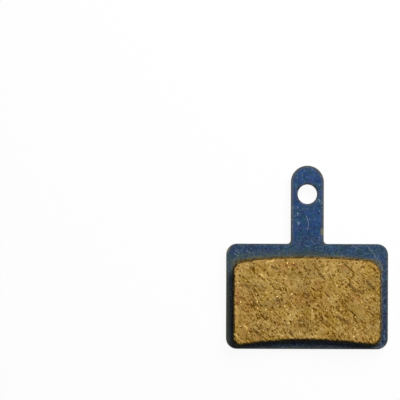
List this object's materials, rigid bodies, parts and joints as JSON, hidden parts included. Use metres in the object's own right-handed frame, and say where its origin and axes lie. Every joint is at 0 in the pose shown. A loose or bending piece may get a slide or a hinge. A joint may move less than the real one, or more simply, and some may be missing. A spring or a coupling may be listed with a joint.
{
  "type": "bicycle disc brake pad",
  "caption": "Flat tabbed backing plate with a raised arc-sided friction block keyed through it; a caliper piston presses it on a disc rotor and a pin through the tab holds it.",
  "frame": {"origin": "centre of the backing plate's body on its back face, where the caliper's piston pushes", "axes": "+Z out of the friction face, +Y up the tab away from the wheel's axle, +X across the plate"},
  "size_m": [0.03, 0.0341, 0.004],
  "materials": {
    "plate_paint": "satin",
    "friction_compound": "matte"
  },
  "bodies": {
    "root": {"backing_plate": "plate_paint", "friction_pad": "friction_compound"}
  },
  "joints": []
}
